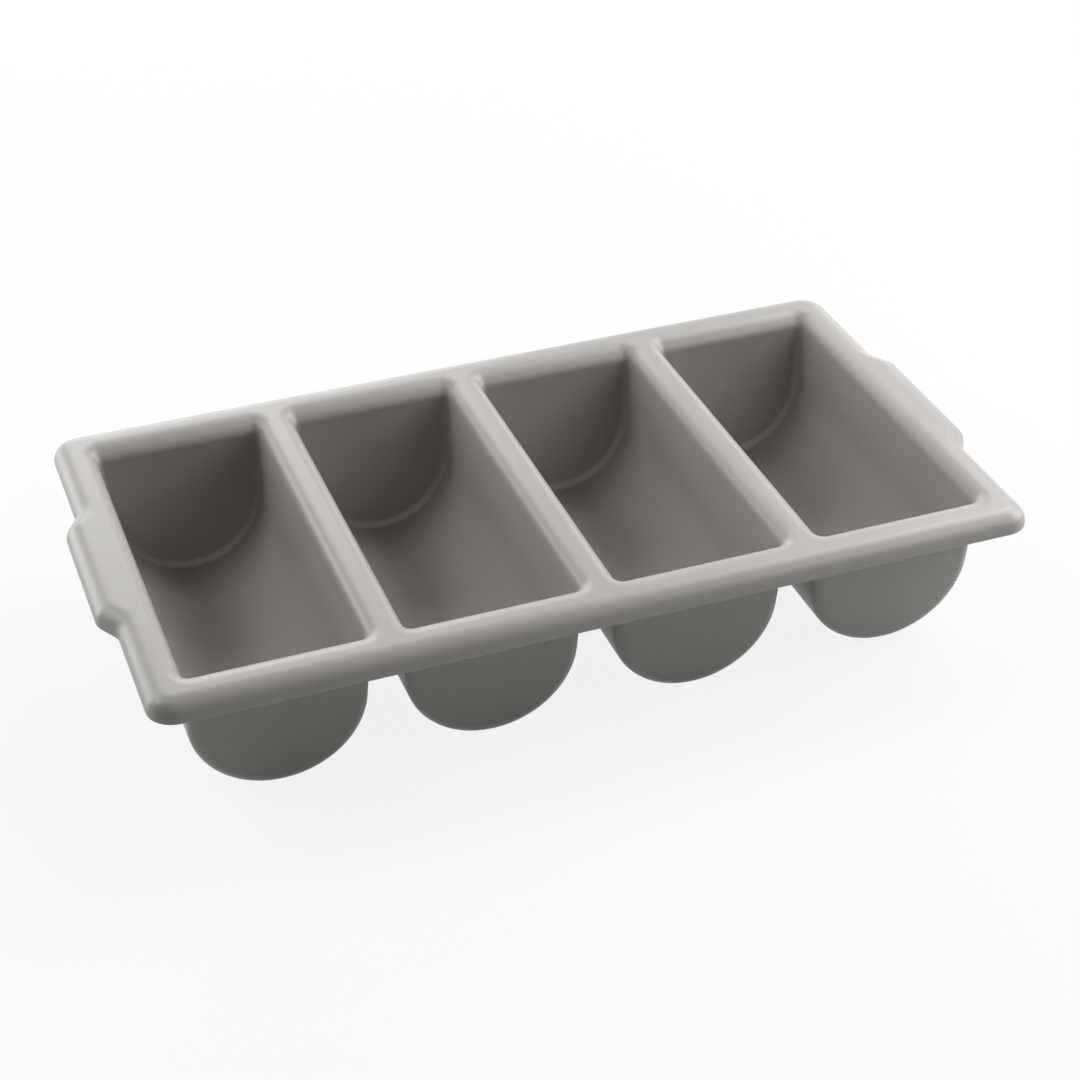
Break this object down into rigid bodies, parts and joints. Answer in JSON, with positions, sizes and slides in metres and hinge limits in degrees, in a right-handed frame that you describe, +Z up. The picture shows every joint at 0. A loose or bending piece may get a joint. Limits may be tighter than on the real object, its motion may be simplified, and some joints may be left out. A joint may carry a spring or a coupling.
{
  "type": "cutlery box",
  "caption": "Open moulded cutlery box: round-bottomed troughs side by side under one flat rim with a down-turned lip and a hand grip at each end.",
  "frame": {"origin": "middle of the box's outline seen from above, on the table under the troughs", "axes": "+X along the row of troughs towards the right grip, +Y along each trough towards the back, +Z up"},
  "size_m": [0.541, 0.298, 0.094],
  "materials": {
    "grey_plastic": "satin grey polyethylene with a faint mould texture"
  },
  "bodies": {
    "root": {"rim": "grey_plastic", "handle_left": "grey_plastic", "handle_right": "grey_plastic", "divider_1": "grey_plastic", "divider_2": "grey_plastic", "divider_3": "grey_plastic", "trough_1": "grey_plastic", "trough_2": "grey_plastic", "trough_3": "grey_plastic", "trough_4": "grey_plastic"}
  },
  "joints": []
}
